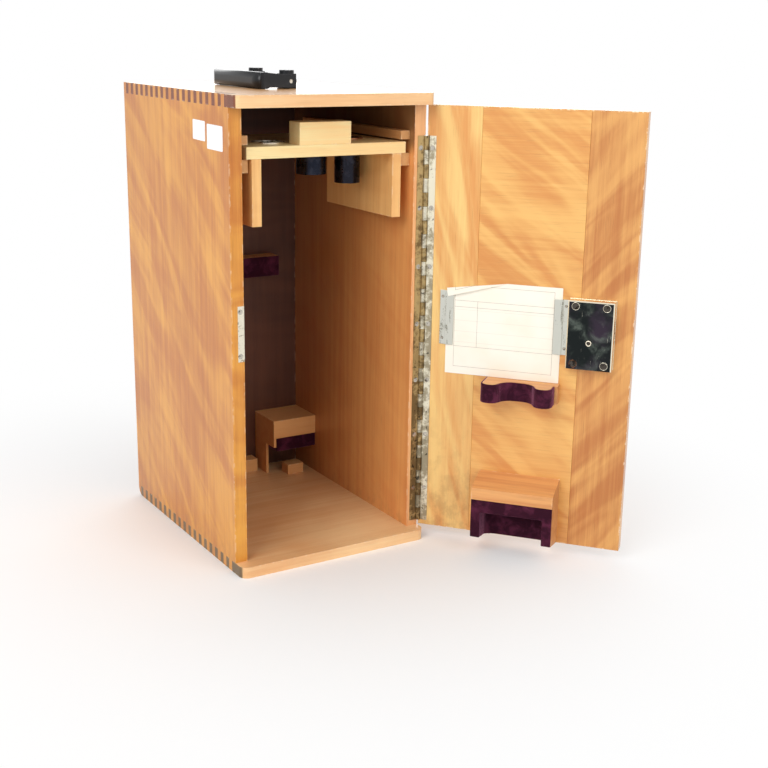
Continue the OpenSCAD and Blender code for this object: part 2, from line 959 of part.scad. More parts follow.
module foot_body() {
    translate([foot_cradle_s, 0, 0])
        rotate([90, 0, 90]) linear_extrude(foot_cradle_w) foot_profile();
}

// The recess of the lower cradle, smaller by lining on every side
module foot_recess(lining) {
    w = foot_cradle_w - 2 * foot_leg_w - 2 * lining;
    r = foot_recess_r - lining;
    translate([foot_cradle_s + foot_leg_w + lining, 0, 0])
        linear_extrude(foot_recess_z - lining) {
            translate([r, lining]) square([w - 2 * r, foot_cradle_d]);
            translate([0, lining + r]) square([w, foot_cradle_d]);
            for (s = [r, w - r])
                translate([s, lining + r]) circle(r);
        }
}

// The part of the lower cradle's front that velvet covers
module foot_front(s0, w) {
    translate([s0, foot_cradle_d - velvet_t, 0]) cube([w, velvet_t + over, foot_velvet_top]);
}

module lower_cradle() {
    color("#cf9150")
        on_door()
            difference() {
                foot_body();
                foot_recess(0);
                foot_front(foot_cradle_s - over, foot_cradle_w + 2 * over);
            }
}

module lower_cradle_velvet() {
    color("#4a1f33")
        on_door()
            difference() {
                intersection() {
                    foot_body();
                    union() {
                        foot_recess(0);
                        foot_front(foot_cradle_s, foot_cradle_w);
                    }
                }
                foot_recess(velvet_t);
            }
}

// A turned cup whose flange rests on the tray
module cup(at, r, depth) {
    translate([at[0], tray_y + at[1], tray_top - depth])
        rotate_extrude()
            polygon([[0, 0], [r, 0], [r, depth], [r + cup_flange, depth],
                [r + cup_flange, depth + cup_flange_t], [r - cup_wall, depth + cup_flange_t],
                [r - cup_wall, cup_wall], [0, cup_wall]]);
}

module cup_hole(at, r, depth) {
    translate([at[0], tray_y + at[1], tray_top - min(depth, tray_t + over)])
        cylinder(h = tray_t + 2 * over, r = r + cup_fit);
}

module tray_board() {
    color("#dda35c")
        difference() {
            translate([-tray_w / 2, tray_y, tray_z]) cube([tray_w, tray_depth, tray_t]);
            cup_hole(left_cup_at, left_cup_r, left_cup_depth);
            cup_hole(middle_cup_at, middle_cup_r, middle_cup_depth);
            cup_hole(right_cup_at, right_cup_r, right_cup_depth);
        }
}

module tray_leg(x0) {
    color("#d79a55")
        translate([x0, tray_y, tray_z - leg_h]) cube([leg_t, tray_depth, leg_h]);
}

module tray_leg_left() {
    tray_leg(-tray_w / 2 + leg_inset);
}

module tray_leg_right() {
    tray_leg(tray_w / 2 - leg_inset - leg_t);
}

module tray_grip_block() {
    color("#e0a862")
        translate([grip_shift - grip_w / 2, tray_y, tray_top]) cube([grip_w, grip_d, grip_h]);
}

module cup_left() {
    color("#c9c7be")
        cup(left_cup_at, left_cup_r, left_cup_depth);
}

module cup_middle() {
    color("#1c1c1e")
        cup(middle_cup_at, middle_cup_r, middle_cup_depth);
}

module cup_right() {
    color("#1c1c1e")
        cup(right_cup_at, right_cup_r, right_cup_depth);
}

module handle_posts() {
    color("#17181b")
        for (side = [-1, 1])
            difference() {
                translate([pivot_x + post_shift, handle_y + side * post_half, case_h])
                    linear_extrude(post_h) square([post_w, post_d], center = true);
                translate([pivot_x, handle_y + side * post_half + post_d, pivot_z])
                    rotate([90, 0, 0]) cylinder(h = 2 * post_d, r = handle_pin_r + bore_fit);
            }
}

module handle_pins() {
    pin_from = post_half - post_d / 2 - pin_head_t;
    color("#17181b")
        for (m = [0, 1])
            translate([pivot_x, handle_y, pivot_z])
                mirror([0, m, 0])
                    translate([0, pin_from, 0])
                        rotate([-90, 0, 0]) {
                            cylinder(h = handle_len / 2 - pin_from - pin_recess, r = handle_pin_r);
                            cylinder(h = pin_head_t, r = pin_head_r);
                        }
}

module handle_caps() {
    color("#101114")
        for (side = [-1, 1])
            translate([pivot_x + post_shift, handle_y + side * post_half, case_h + post_h])
                difference() {
                    cylinder(h = cap_t, r = cap_r);
                    translate([-cap_r - over, -slot_w, cap_t - slot_depth])
                        cube([2 * (cap_r + over), 2 * slot_w, slot_depth + over]);
                }
}

// Side view of the handle from its pivot: the grip at the left, the arm to its eye
module handle_side() {
    grip_low = part_gap - pivot_h;
    grip_x = -handle_reach + handle_grip_w / 2;
    translate([-handle_reach + grip_round, grip_low])
        square([handle_grip_w - 2 * grip_round, handle_grip_h]);
    translate([-handle_reach, grip_low + grip_round])
        square([handle_grip_w, handle_grip_h - 2 * grip_round]);
    for (x = [-handle_reach + grip_round, -handle_reach + handle_grip_w - grip_round],
            z = [grip_low + grip_round, grip_low + handle_grip_h - grip_round])
        translate([x, z]) circle(grip_round);
    polygon([[grip_x, grip_low + arm_arch], [-arm_boss_r, grip_low + arm_arch], [0, -arm_boss_r],
        [0, arm_boss_r], [grip_x, grip_low + handle_grip_h]]);
    circle(arm_boss_r);
}

// Plan of the handle from its pivot: a bow with round outer corners
module handle_plan() {
    difference() {
        union() {
            translate([-handle_reach, -handle_len / 2 + bow_r])
                square([handle_reach, handle_len - 2 * bow_r]);
            translate([-handle_reach + bow_r, -handle_len / 2])
                square([handle_reach - bow_r + arm_boss_r, handle_len]);
            for (side = [-1, 1])
                translate([-handle_reach + bow_r, side * (handle_len / 2 - bow_r)]) circle(bow_r);
        }
        translate([-handle_reach + handle_grip_w + bow_inner_r, -handle_len / 2 + arm_w])
            square([handle_reach, handle_len - 2 * arm_w]);
        translate([-handle_reach + handle_grip_w, -handle_len / 2 + arm_w + bow_inner_r])
            square([handle_reach, handle_len - 2 * arm_w - 2 * bow_inner_r]);
        for (side = [-1, 1])
            translate([-handle_reach + handle_grip_w + bow_inner_r,
                    side * (handle_len / 2 - arm_w - bow_inner_r)])
                circle(bow_inner_r);
    }
}

module handle_grip() {
    color("#1b1c20")
        translate([pivot_x, handle_y, pivot_z])
            difference() {
                intersection() {
                    translate([0, handle_len / 2, 0])
                        rotate([90, 0, 0]) linear_extrude(handle_len) handle_side();
                    translate([0, 0, -pivot_h]) linear_extrude(3 * pivot_h) handle_plan();
                }
                translate([0, handle_len / 2 + over, 0])
                    rotate([90, 0, 0]) cylinder(h = handle_len + 2 * over, r = handle_pin_r + bore_fit);
            }
}

left_side();
right_side();
top_board();
bottom_board();
back_board();
lower_runner_left();
lower_runner_right();
upper_runner_left();
upper_runner_right();
bridge_left();
bridge_right();
bridge_pad_left();
bridge_pad_right();
heel_strip();
chock_left();
chock_right();
back_pad_block();
back_pad_velvet();
strike_plate();
strike_screws();
hinge_case_leaf();
hinge_pin();
hinge_case_screws();
handle_posts();
handle_pins();
handle_caps();
handle_grip();
door_hinge_board();
door_centre_board();
door_lock_board();
hinge_door_leaf();
hinge_door_screws();
lock_case();
lock_base_plate();
lock_screws();
lock_bolt();
bolt_stud();
key_pin();
card_rail_left();
card_rail_right();
rail_nails();
record_card();
upper_cradle();
upper_cradle_velvet();
lower_cradle();
lower_cradle_velvet();
tray_board();
tray_leg_left();
tray_leg_right();
tray_grip_block();
cup_left();
cup_middle();
cup_right();
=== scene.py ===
# %% [markdown]
# # A wooden carrying case with its door standing open
#
# The case is an upright mahogany box. Its corners are cut as rows of fingers, its door
# turns on a long piano hinge, and velvet pads and cradles hold what travels inside.
# This lesson gives each of them a finish, softens the sharp corners of the wood, and
# makes the cloth and the paper, which a solid model can't show.

# %% Load the frame
import json
import math

import bmesh
import bpy
from mathutils import Matrix, Vector, noise

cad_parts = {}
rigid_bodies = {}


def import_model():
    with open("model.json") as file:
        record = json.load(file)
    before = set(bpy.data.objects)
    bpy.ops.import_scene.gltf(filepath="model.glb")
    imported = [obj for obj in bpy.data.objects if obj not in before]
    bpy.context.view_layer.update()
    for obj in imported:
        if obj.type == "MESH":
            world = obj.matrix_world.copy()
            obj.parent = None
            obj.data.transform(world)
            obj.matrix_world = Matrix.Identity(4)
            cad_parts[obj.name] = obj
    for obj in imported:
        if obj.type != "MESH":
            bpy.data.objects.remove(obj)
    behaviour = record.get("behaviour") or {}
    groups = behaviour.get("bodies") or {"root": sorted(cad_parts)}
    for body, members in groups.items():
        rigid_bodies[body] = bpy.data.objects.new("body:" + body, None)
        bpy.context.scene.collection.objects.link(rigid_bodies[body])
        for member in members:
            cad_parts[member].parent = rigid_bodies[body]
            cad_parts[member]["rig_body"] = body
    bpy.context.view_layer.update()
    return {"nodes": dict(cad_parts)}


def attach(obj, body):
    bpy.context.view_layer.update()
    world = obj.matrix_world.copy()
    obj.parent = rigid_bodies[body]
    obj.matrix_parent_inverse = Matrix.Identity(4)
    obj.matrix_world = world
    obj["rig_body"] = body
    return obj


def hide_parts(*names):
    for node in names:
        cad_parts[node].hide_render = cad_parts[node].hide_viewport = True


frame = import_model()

MM = 0.001
nodes = frame["nodes"]

# %% [markdown]
# ## Where the camera stands
#
# A camera is placed by hand or solved from straight edges of the object. These numbers
# were solved from the corners of the case, so the render and the photograph overlay.
# Yaw, pitch and roll give three unit vectors, and they are the columns of the matrix.

# %% Camera
EYE = Vector((-0.55376, -1.09504, 0.484386))
YAW, PITCH, ROLL = 0.5572881, 0.2730533, 0.0165822
FOCAL_PIXELS = 1268.475
FRAME_PIXELS = 768
SENSOR_WIDTH = 36

ahead = Vector((math.sin(YAW) * math.cos(PITCH), math.cos(YAW) * math.cos(PITCH), -math.sin(PITCH)))
level = Vector((math.cos(YAW), -math.sin(YAW), 0))
square_up = level.cross(ahead)
right = level * math.cos(ROLL) + square_up * math.sin(ROLL)
upward = square_up * math.cos(ROLL) - level * math.sin(ROLL)

lens = bpy.data.cameras.new("camera")
lens.sensor_width = SENSOR_WIDTH
lens.lens = FOCAL_PIXELS / FRAME_PIXELS * SENSOR_WIDTH
camera = bpy.data.objects.new("camera", lens)
camera.matrix_world = Matrix.Translation(EYE) @ Matrix((right, upward, -ahead)).transposed().to_4x4()
bpy.context.scene.collection.objects.link(camera)
bpy.context.scene.camera = camera
print("camera at", tuple(round(v, 3) for v in EYE), "lens", round(lens.lens, 2), "mm")

# %% [markdown]
# ## Sums written as Python
#
# A finish is a web of nodes, and most of them only add or multiply. Placing each by
# hand hides the idea. So a small class wraps a socket and gives it the signs + - and
# *, and `1 - mask` in Python makes a Subtract node. Every other node comes from one
# method, which takes its kind, its settings and what goes into its sockets.

# %% A socket that can be added and multiplied
class Val:
    def __init__(self, finish, socket):
        self.finish = finish
        self.socket = socket

    def sum_of(self, operation, first, second):
        return self.finish.node("Math", {0: first, 1: second}, operation=operation)

    def __add__(self, other):
        return self.sum_of("ADD", self, other)

    def __radd__(self, other):
        return self.sum_of("ADD", other, self)

    def __sub__(self, other):
        return self.sum_of("SUBTRACT", self, other)

    def __rsub__(self, other):
        return self.sum_of("SUBTRACT", other, self)

    def __mul__(self, other):
        return self.sum_of("MULTIPLY", self, other)

    def __rmul__(self, other):
        return self.sum_of("MULTIPLY", other, self)

    def __abs__(self):
        return self.sum_of("ABSOLUTE", self, 0)


def srgb(red, green, blue):
    def linear(level):
        level /= 255
        return level / 12.92 if level <= 0.04045 else ((level + 0.055) / 1.055) ** 2.4

    return linear(red), linear(green), linear(blue)


# %% A finish: one material and the nodes that it is made of
class Finish:
    def __init__(self, name, **constants):
        self.material = bpy.data.materials.new(name)
        self.material.use_nodes = True
        self.tree = self.material.node_tree
        self.tree.nodes.clear()
        self.shader = self.tree.nodes.new("ShaderNodeBsdfPrincipled")
        output = self.tree.nodes.new("ShaderNodeOutputMaterial")
        self.tree.links.new(self.shader.outputs[0], output.inputs["Surface"])
        self.set(**constants)

    def node(self, kind, sockets=None, out=0, **settings):
        made = self.tree.nodes.new("ShaderNode" + kind)
        for name, value in settings.items():
            setattr(made, name, value)
        for key, value in (sockets or {}).items():
            self.feed(made.inputs[key], value)
        return Val(self, made.outputs[out])

    def feed(self, socket, value):
        if isinstance(value, Val):
            self.tree.links.new(value.socket, socket)
        elif socket.type == "RGBA" and len(value) == 3:
            socket.default_value = (*value, 1)
        else:
            socket.default_value = value

    def set(self, **sockets):
        for name, value in sockets.items():
            self.feed(self.shader.inputs[name.replace("_", " ")], value)

    def here(self, turn=(0, 0, 0)):
        place = self.node("TexCoord", out="Object")
        return self.node("Mapping", {"Vector": place, "Rotation": turn}) if any(turn) else place

    def stretched(self, place, scale, shift=(0, 0, 0)):
        return self.node("Mapping", {"Vector": place, "Scale": scale, "Location": shift})

    def noise(self, place, scale=1.0, detail=2.0, rough=0.5, bend=0.0):
        sockets = {"Vector": place, "Scale": scale, "Detail": detail, "Roughness": rough, "Distortion": bend}
        return self.node("TexNoise", sockets)

    def rise(self, value, start, end, low=0.0, high=1.0):
        sockets = {"Value": value, "From Min": start, "From Max": end, "To Min": low, "To Max": high}
        return self.node("MapRange", sockets, interpolation_type="SMOOTHSTEP")

    def mix(self, mask, first, second, blend="MIX"):
        sockets = {0: mask, 6: first, 7: second}
        return self.node("Mix", sockets, out=2, data_type="RGBA", blend_type=blend)

    def split(self, place):
        return [self.node("SeparateXYZ", {"Vector": place}, out=axis) for axis in range(3)]

    def bump(self, height, distance):
        self.set(Normal=self.node("Bump", {"Height": height, "Distance": distance}))


print("the shader helpers are ready")

# %% [markdown]
# ## The wood
#
# Varnished mahogany shows four things at once: thin streaks along the grain, broad
# ribbons across it where the fibres lean to and fro, short dark pores, and a darker
# end grain wherever a board is cut across. All of them can be noise, stretched along
# the grain by a Mapping node. The end grain is found by asking which way the face
# looks. The edges, where hands have rubbed the varnish off, are found from the
# board's own box, because a shader knows no edges.

# %% Which way the boards lie
DOOR_ANGLE = math.radians(129.66)
PIN = Vector((0.09935, -0.1138, 0))
X, Y, Z = 0, 1, 2


def box_in(node, turn):
    spin = Matrix.Rotation(turn, 3, "Z")
    points = [spin @ vertex.co for vertex in nodes[node].data.vertices]
    low = [min(point[axis] for point in points) for axis in range(3)]
    high = [max(point[axis] for point in points) for axis in range(3)]
    return low, high


def worn_edges(finish, place, low, high, width):
    near = []
    for axis, value in enumerate(finish.split(place)):
        middle, half = (low[axis] + high[axis]) / 2, (high[axis] - low[axis]) / 2
        near.append(finish.rise(abs(value - middle), half - width, half - 0.1 * width))
    return near[0] * near[1] + near[1] * near[2] + near[0] * near[2]


# %% Scales and tones of the wood's pattern, and the painted shade inside the case
STREAKS, FINE_LINES, PORES, END_PORES = 150, 900, 1500, 1100
ALONG_GRAIN = 0.028
RUB_WIDTH = 1.6 * MM
CASE_DEPTH = (-0.11, 0.1)
ABOVE_TRAY = (0.372, 0.388)
# Painted shade for inner faces towards the back of the case and above the tray
DEEP_SHADE = (0.5, 0.42, 0.38)
TOP_SHADE = (0.42, 0.44, 0.5)
BARE_WOOD = srgb(250, 226, 190)
GRIME_TONE = srgb(150, 96, 52)
NO_INWARD_FACE_SHADE = (1, 1, 1)


# %% What changes a board's colour from place to place: painted shade inside the case, grime low down and end grain
# Painted shade: faces that look into the case are multiplied by a darker tint, then darker again towards the
# back of the case and above the tray, where the walls would shade them
def shaded_inside(finish, colour, place, inner, tint):
    facing = finish.node("TexCoord", out="Normal")
    looks = finish.node("VectorMath", {0: facing, 1: inner}, out="Value", operation="DOT_PRODUCT")
    inward = finish.rise(looks, 0.5, 0.9)
    _, depth, height = finish.split(place)
    deeper = inward * finish.rise(depth, *CASE_DEPTH) * 0.85
    above = inward * finish.rise(height, *ABOVE_TRAY)
    colour = finish.mix(inward, colour, tint, blend="MULTIPLY")
    colour = finish.mix(deeper, colour, DEEP_SHADE, blend="MULTIPLY")
    return finish.mix(above, colour, TOP_SHADE, blend="MULTIPLY")


def grimy_foot(finish, colour, place, shift, reach):
    height = finish.split(place)[Z]
    spots = finish.noise(finish.stretched(place, (90, 90, 60), shift), detail=4, rough=0.65)
    foot = (1 - finish.rise(height, 0.0, reach)) * finish.rise(spots, 0.42, 0.66)
    return finish.mix(foot * 0.35, colour, GRIME_TONE)


def end_grain(finish, place, shift, tone):
    grains = finish.noise(finish.stretched(place, [END_PORES] * 3), detail=2, rough=0.7)
    rings = finish.noise(finish.stretched(place, (90, 90, 90), shift), detail=2, bend=0.8)
    deep_tone = [level * 0.7 for level in tone]
    return finish.mix(finish.rise(grains * 0.6 + rings * 0.4, 0.35, 0.65), deep_tone, tone)


# %% The wood itself
def wood(node, light, dark, grain, *, ribbon, seed, wear, turn=0.0, lean=(0, 0, 0), band=26, coat=0.5,
         ends=0.6, end_tone=None, rub_box=None, inner=None, inward_face_shade=NO_INWARD_FACE_SHADE, grime=0.0):
    finish = Finish("wood_" + node, Specular_IOR_Level=0.4, Coat_Roughness=0.12, Coat_IOR=1.45)
    place = finish.here((0, 0, turn))
    long = [1.0, 1.0, 1.0]
    long[grain] = ALONG_GRAIN
    shift = (seed, seed * 1.7, seed * 2.3)

    def along(across):
        return finish.stretched(place, [across * share for share in long], shift)

    streaks = finish.noise(along(STREAKS), detail=3, rough=0.6, bend=0.3)
    fine = finish.noise(along(FINE_LINES), detail=3, rough=0.7)
    pores = finish.rise(finish.noise(finish.stretched(along(1), [PORES] * 3), detail=1), 0.62, 0.74)
    leaning = finish.node("Mapping", {"Vector": place, "Rotation": lean})
    ribbons = finish.noise(finish.stretched(leaning, (6, 6, band), shift), detail=2.5, rough=0.5, bend=1.1)
    tone = finish.rise(ribbons, 0.3, 0.7) * ribbon + streaks * (1 - ribbon) + (fine - 0.5) * 0.3
    colour = finish.mix(finish.rise(tone, 0.15, 0.85), dark, light)
    cloud = finish.noise(finish.stretched(place, (14, 14, 9), shift), detail=2)
    colour = finish.mix(finish.rise(cloud, 0.35, 0.75, 0, 0.22), colour, [level * 0.85 for level in dark])
    colour = finish.mix(pores * 0.2, colour, [level * 0.4 for level in dark])
    # Painted shade on the faces that look into the case
    if inner:
        colour = shaded_inside(finish, colour, place, inner, inward_face_shade)
    if grime:
        colour = grimy_foot(finish, colour, place, shift, grime)

    facing = finish.node("TexCoord", out="Normal")
    turned = finish.node("Mapping", {"Vector": facing, "Rotation": (0, 0, turn)})
    end = finish.rise(abs(finish.split(turned)[grain]), 0.75, 0.9)
    tone_of_end = end_tone or [level * 0.6 for level in dark]
    colour = finish.mix(end * ends, colour, end_grain(finish, place, shift, tone_of_end))

    low, high = rub_box or box_in(node, turn)
    blotches = finish.noise(finish.stretched(place, (220, 220, 120), shift), detail=3, rough=0.7)
    bare = worn_edges(finish, place, low, high, RUB_WIDTH) * finish.rise(blotches, 0.5, 0.62) * wear
    colour = finish.mix(bare, colour, BARE_WOOD)
    finish.set(Base_Color=colour, Coat_Weight=coat * (1 - bare), Roughness=0.38 + fine * 0.16 + end * 0.15)
    finish.bump(fine * 0.5 + streaks * 0.2 - pores * 0.6, 0.00012)
    return finish.material


print("wood is ready to be made for each board")

# %% [markdown]
# ## Boards with softened edges
#
# No joiner leaves a razor edge, and a camera sees the difference as a thin bright line.
# A Bevel modifier would also round each finger of the corner joints, which are planed
# flush. So a copy of the board is merged and cleaned, and only the edges that a hand
# can reach are picked for the bevel operator.

# %% Softening helpers
def piece_of(name, bm, material, body):
    mesh = bpy.data.meshes.new(name)
    bm.to_mesh(mesh)
    bm.free()
    made = bpy.data.objects.new(name, mesh)
    bpy.context.scene.collection.objects.link(made)
    mesh.materials.append(material)
    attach(made, body)
    return made


TOUCHING = 2e-5
FAR_OFF = Vector((9, 9, 9))


def merged(node):
    bm = bmesh.new()
    bm.from_mesh(nodes[node].data)
    bmesh.ops.remove_doubles(bm, verts=bm.verts, dist=2e-6)
    bmesh.ops.dissolve_limit(bm, angle_limit=math.radians(1.5), verts=bm.verts, edges=bm.edges)
    return bm


def sharp(edge, least=math.radians(50)):
    return len(edge.link_faces) == 2 and edge.is_convex and edge.calc_face_angle(0) > least


def on_silhouette(edge, low, high):
    ends = [vertex.co for vertex in edge.verts]

    def held(axis):
        return all(min(abs(p[axis] - low[axis]), abs(p[axis] - high[axis])) < TOUCHING for p in ends)

    return sum(held(axis) for axis in range(3)) >= 2


def softened(node, width, material, least_length=15 * MM, segments=2, within=None):
    bm = merged(node)
    low, high = within or (-FAR_OFF, FAR_OFF)
    chosen = []
    for edge in bm.edges:
        in_reach = edge.calc_length() > least_length or on_silhouette(edge, low, high)
        if in_reach and sharp(edge):
            chosen.append(edge)
    bmesh.ops.bevel(bm, geom=chosen, offset=width, offset_type="OFFSET", segments=segments, profile=0.5,
                    affect="EDGES", clamp_overlap=True, material=-1)
    made = piece_of("soft_" + node, bm, material, nodes[node]["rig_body"])
    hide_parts(node)
    return made


# %% [markdown]
# ## The carcass
#
# The two sides and the back stand with upright grain, and the top and bottom boards
# run across, so their fingers show end grain on the sides. The lighter hardwood of
# the rails and blocks inside is the same recipe with paler colours.

# %% Colours of the woods
SIDE_LIGHT = srgb(232, 164, 62)
SIDE_DARK = srgb(192, 111, 34)
WALL_LIGHT = srgb(247, 193, 133)
WALL_DARK = srgb(230, 158, 103)
# The top board's pale tones partly stand in for the glare on its top face, a painted highlight; the bottom
# board shares them
TOP_LIGHT = srgb(250, 210, 156)
TOP_DARK = srgb(232, 174, 118)
# The back board is darker and greyer than the others, partly as painted shade at the back of the case
BACK_PALE_IN_SHADE = srgb(158, 116, 92)
BACK_DEEP_IN_SHADE = srgb(118, 86, 70)
HINGE_BOARD_LIGHT = srgb(244, 205, 128)
HINGE_BOARD_DARK = srgb(223, 153, 82)
CENTRE_LIGHT = srgb(242, 190, 110)
CENTRE_DARK = srgb(217, 145, 74)
LOCK_BOARD_LIGHT = srgb(230, 171, 97)
LOCK_BOARD_DARK = srgb(188, 115, 56)
TRAY_LIGHT = srgb(247, 230, 170)
TRAY_DARK = srgb(247, 203, 137)
LEG_LIGHT = srgb(246, 196, 126)
LEG_DARK = srgb(224, 162, 96)
CRADLE_LIGHT = srgb(246, 186, 118)
CRADLE_DARK = srgb(206, 134, 78)
BLOCK_LIGHT = srgb(236, 184, 120)
BLOCK_DARK = srgb(222, 158, 98)
# Painted shade for the faces that look into the case, with a warm cast on the right side
RIGHT_INWARD_FACE_SHADE = (0.98, 0.85, 0.62)
INWARD_FACE_SHADE = (0.72, 0.56, 0.5)
FINGER_END = srgb(132, 70, 40)
FOOT_END = srgb(124, 100, 68)

# %% Carcass boards
HALF_WIDTH, HALF_DEPTH, HEIGHT = 98.75, 128, 430
carcass_low = Vector((-HALF_WIDTH, -HALF_DEPTH, 0)) * MM
carcass_high = Vector((HALF_WIDTH, HALF_DEPTH, HEIGHT)) * MM
boards = [
    ("left_side", SIDE_LIGHT, SIDE_DARK, Z, -42, 0.36, 1.0, (1, 0, 0)),
    ("right_side", WALL_LIGHT, WALL_DARK, Z, -40, 0.15, 4.2, (-1, 0, 0)),
    ("top_board", TOP_LIGHT, TOP_DARK, X, 0, 0.3, 7.1, (0, 0, -1)),
    ("bottom_board", TOP_LIGHT, TOP_DARK, X, 0, 0.3, 9.6, None),
    ("back_board", BACK_PALE_IN_SHADE, BACK_DEEP_IN_SHADE, Z, 30, 0.3, 12.3, (0, -1, 0)),
]
for node, light, dark, grain, lean, ribbon, seed, inner in boards:
    on_floor = node == "bottom_board"
    # Faces that look into the case get painted shade, warmer on the right side
    tint = RIGHT_INWARD_FACE_SHADE if node == "right_side" else INWARD_FACE_SHADE
    finish = wood(node, light, dark, grain, lean=(math.radians(lean), 0, 0), ribbon=ribbon, seed=seed,
                  wear=0.35, ends=1.0, end_tone=FOOT_END if on_floor else FINGER_END, inner=inner,
                  inward_face_shade=tint, grime=0.0 if on_floor else 0.04)
    softened(node, 0.6 * MM, finish, within=(carcass_low, carcass_high))
print("softened", len(boards), "carcass boards")

# %% Blocks and runners inside
blocks = [
    ("lower_runner_left", Y), ("lower_runner_right", Y), ("upper_runner_left", Y), ("upper_runner_right", Y),
    ("bridge_left", X), ("bridge_right", X), ("heel_strip", X), ("chock_left", X), ("chock_right", X),
    ("back_pad_block", X),
]
for step, (node, grain) in enumerate(blocks):
    finish = wood(node, BLOCK_LIGHT, BLOCK_DARK, grain, ribbon=0.3, seed=20 + step * 1.3, wear=0.3,
                  coat=0.1, ends=0.3)
    softened(node, 0.4 * MM, finish, least_length=2 * MM)
print("softened", len(blocks), "blocks inside")

# %% [markdown]
# ## The door and what is screwed to it
#
# Two upright boards hold a centre board whose grain lies across, which keeps the
# door flat. The door stands open at an angle, so its finish turns the coordinates
# back by the same angle before the grain is stretched.

# %% Door boards
door_boards = [
    ("door_hinge_board", HINGE_BOARD_LIGHT, HINGE_BOARD_DARK, Z, 78, 0.45, 31.0, 0.16),
    ("door_centre_board", CENTRE_LIGHT, CENTRE_DARK, X, 36, 0.5, 35.0, 0.0),
    ("door_lock_board", LOCK_BOARD_LIGHT, LOCK_BOARD_DARK, Z, -52, 0.42, 39.0, 0.0),
]
edges_of_all = [box_in(row[0], -DOOR_ANGLE) for row in door_boards]
door_low = [min(low[axis] for low, _ in edges_of_all) for axis in range(3)]
door_high = [max(high[axis] for _, high in edges_of_all) for axis in range(3)]
for node, light, dark, grain, lean, ribbon, seed, grime in door_boards:
    finish = wood(node, light, dark, grain, turn=-DOOR_ANGLE, lean=(0, math.radians(lean), 0), ribbon=ribbon,
                  seed=seed, wear=0.7, rub_box=(door_low, door_high), grime=grime, band=34)
    softened(node, 0.4 * MM, finish)
print("softened", len(door_boards), "door boards")

# %% Cradles on the door
for step, node in enumerate(["upper_cradle", "lower_cradle"]):
    finish = wood(node, CRADLE_LIGHT, CRADLE_DARK, X, turn=-DOOR_ANGLE, ribbon=0.3, seed=44 + step, wear=0.3,
                  coat=0.15, ends=0.4)
    softened(node, 0.4 * MM, finish, least_length=4 * MM)

# %% [markdown]
# ## The tray
#
# A loose shelf on two legs slides between the runners. It is pale, hardly varnished
# hardwood, and three turned cups hang in its holes.

# %% Tray
tray_pieces = [("tray_board", X), ("tray_leg_left", Z), ("tray_leg_right", Z), ("tray_grip_block", X)]
for step, (node, grain) in enumerate(tray_pieces):
    light, dark = (LEG_LIGHT, LEG_DARK) if "leg" in node else (TRAY_LIGHT, TRAY_DARK)
    finish = wood(node, light, dark, grain, ribbon=0.3, seed=50 + step * 2.1, wear=0.3, coat=0.15, ends=0.35)
    softened(node, 0.4 * MM, finish, least_length=8 * MM)
print("softened the tray and its legs")

# %% [markdown]
# ## Metal
#
# The hinge and the lock are nickel plate on brass that has gone patchy: bright where
# fingers rub, brown and black where the plate is stained. One recipe with a stain
# amount serves all of it.

# %% Metal finishes
def plate(name, bright, stain, amount, scale=260.0, rough=0.22, tall=1.0):
    finish = Finish(name, Metallic=1.0)
    place = finish.here()
    drawn_out = finish.stretched(place, (scale, scale, scale * tall))
    patches = finish.noise(drawn_out, detail=5, rough=0.65, bend=0.4)
    specks = finish.noise(finish.stretched(place, [scale * 5] * 3), detail=2, rough=0.6)
    dirty = finish.rise(patches + (specks - 0.5) * 0.3, 0.62 - amount * 0.3, 0.72 - amount * 0.3)
    finish.set(Base_Color=finish.mix(dirty, bright, stain), Roughness=rough + dirty * 0.3 + specks * 0.08)
    finish.bump(specks * 0.5 - dirty * 0.5, 0.00004)
    return finish.material


NICKEL = srgb(232, 224, 204)
clean_metal = plate("clean_nickel", NICKEL, srgb(120, 108, 84), 0.15)
RAIL_BRIGHT, RAIL_STAIN = srgb(208, 208, 198), srgb(138, 138, 126)
rail_metal = plate("rail_nickel", RAIL_BRIGHT, RAIL_STAIN, 0.2, scale=200, rough=0.26, tall=0.15)
steel_metal = plate("steel", srgb(190, 184, 172), srgb(86, 76, 64), 0.3)
dark_steel = plate("dark_steel", srgb(84, 78, 72), srgb(40, 34, 30), 0.4)


def leaf(name, cream, brown):
    finish = Finish(name, Metallic=0.8)
    place = finish.here()
    mottle = finish.noise(place, scale=170, detail=5, rough=0.7)
    broad = finish.noise(finish.stretched(place, (60, 60, 22)), detail=3)
    lower = 1 - finish.rise(finish.split(place)[2], 0.06, 0.34)
    stained = finish.rise(mottle * 0.55 + broad * 0.45 + lower * 0.07, 0.47, 0.6)
    black_spots = finish.rise(finish.noise(place, scale=240, detail=3, rough=0.6) + lower * 0.05, 0.66, 0.72)
    colour = finish.mix(black_spots * 0.85, finish.mix(stained * 0.8, cream, brown), srgb(34, 30, 22))
    from_pin = finish.node("Mapping", {"Vector": place, "Location": -PIN, "Scale": (1, 1, 0)})
    distance = finish.node("VectorMath", {0: from_pin}, out="Value", operation="LENGTH")
    knuckles = 1 - finish.rise(distance, 0.0021, 0.0032)
    colour = finish.mix(knuckles * finish.rise(mottle, 0.3, 0.6) * 0.75, colour, srgb(52, 44, 30))
    finish.set(Base_Color=colour, Roughness=0.34 + stained * 0.2)
    finish.bump(mottle * 0.4 - stained * 0.4, 0.00005)
    return finish.material


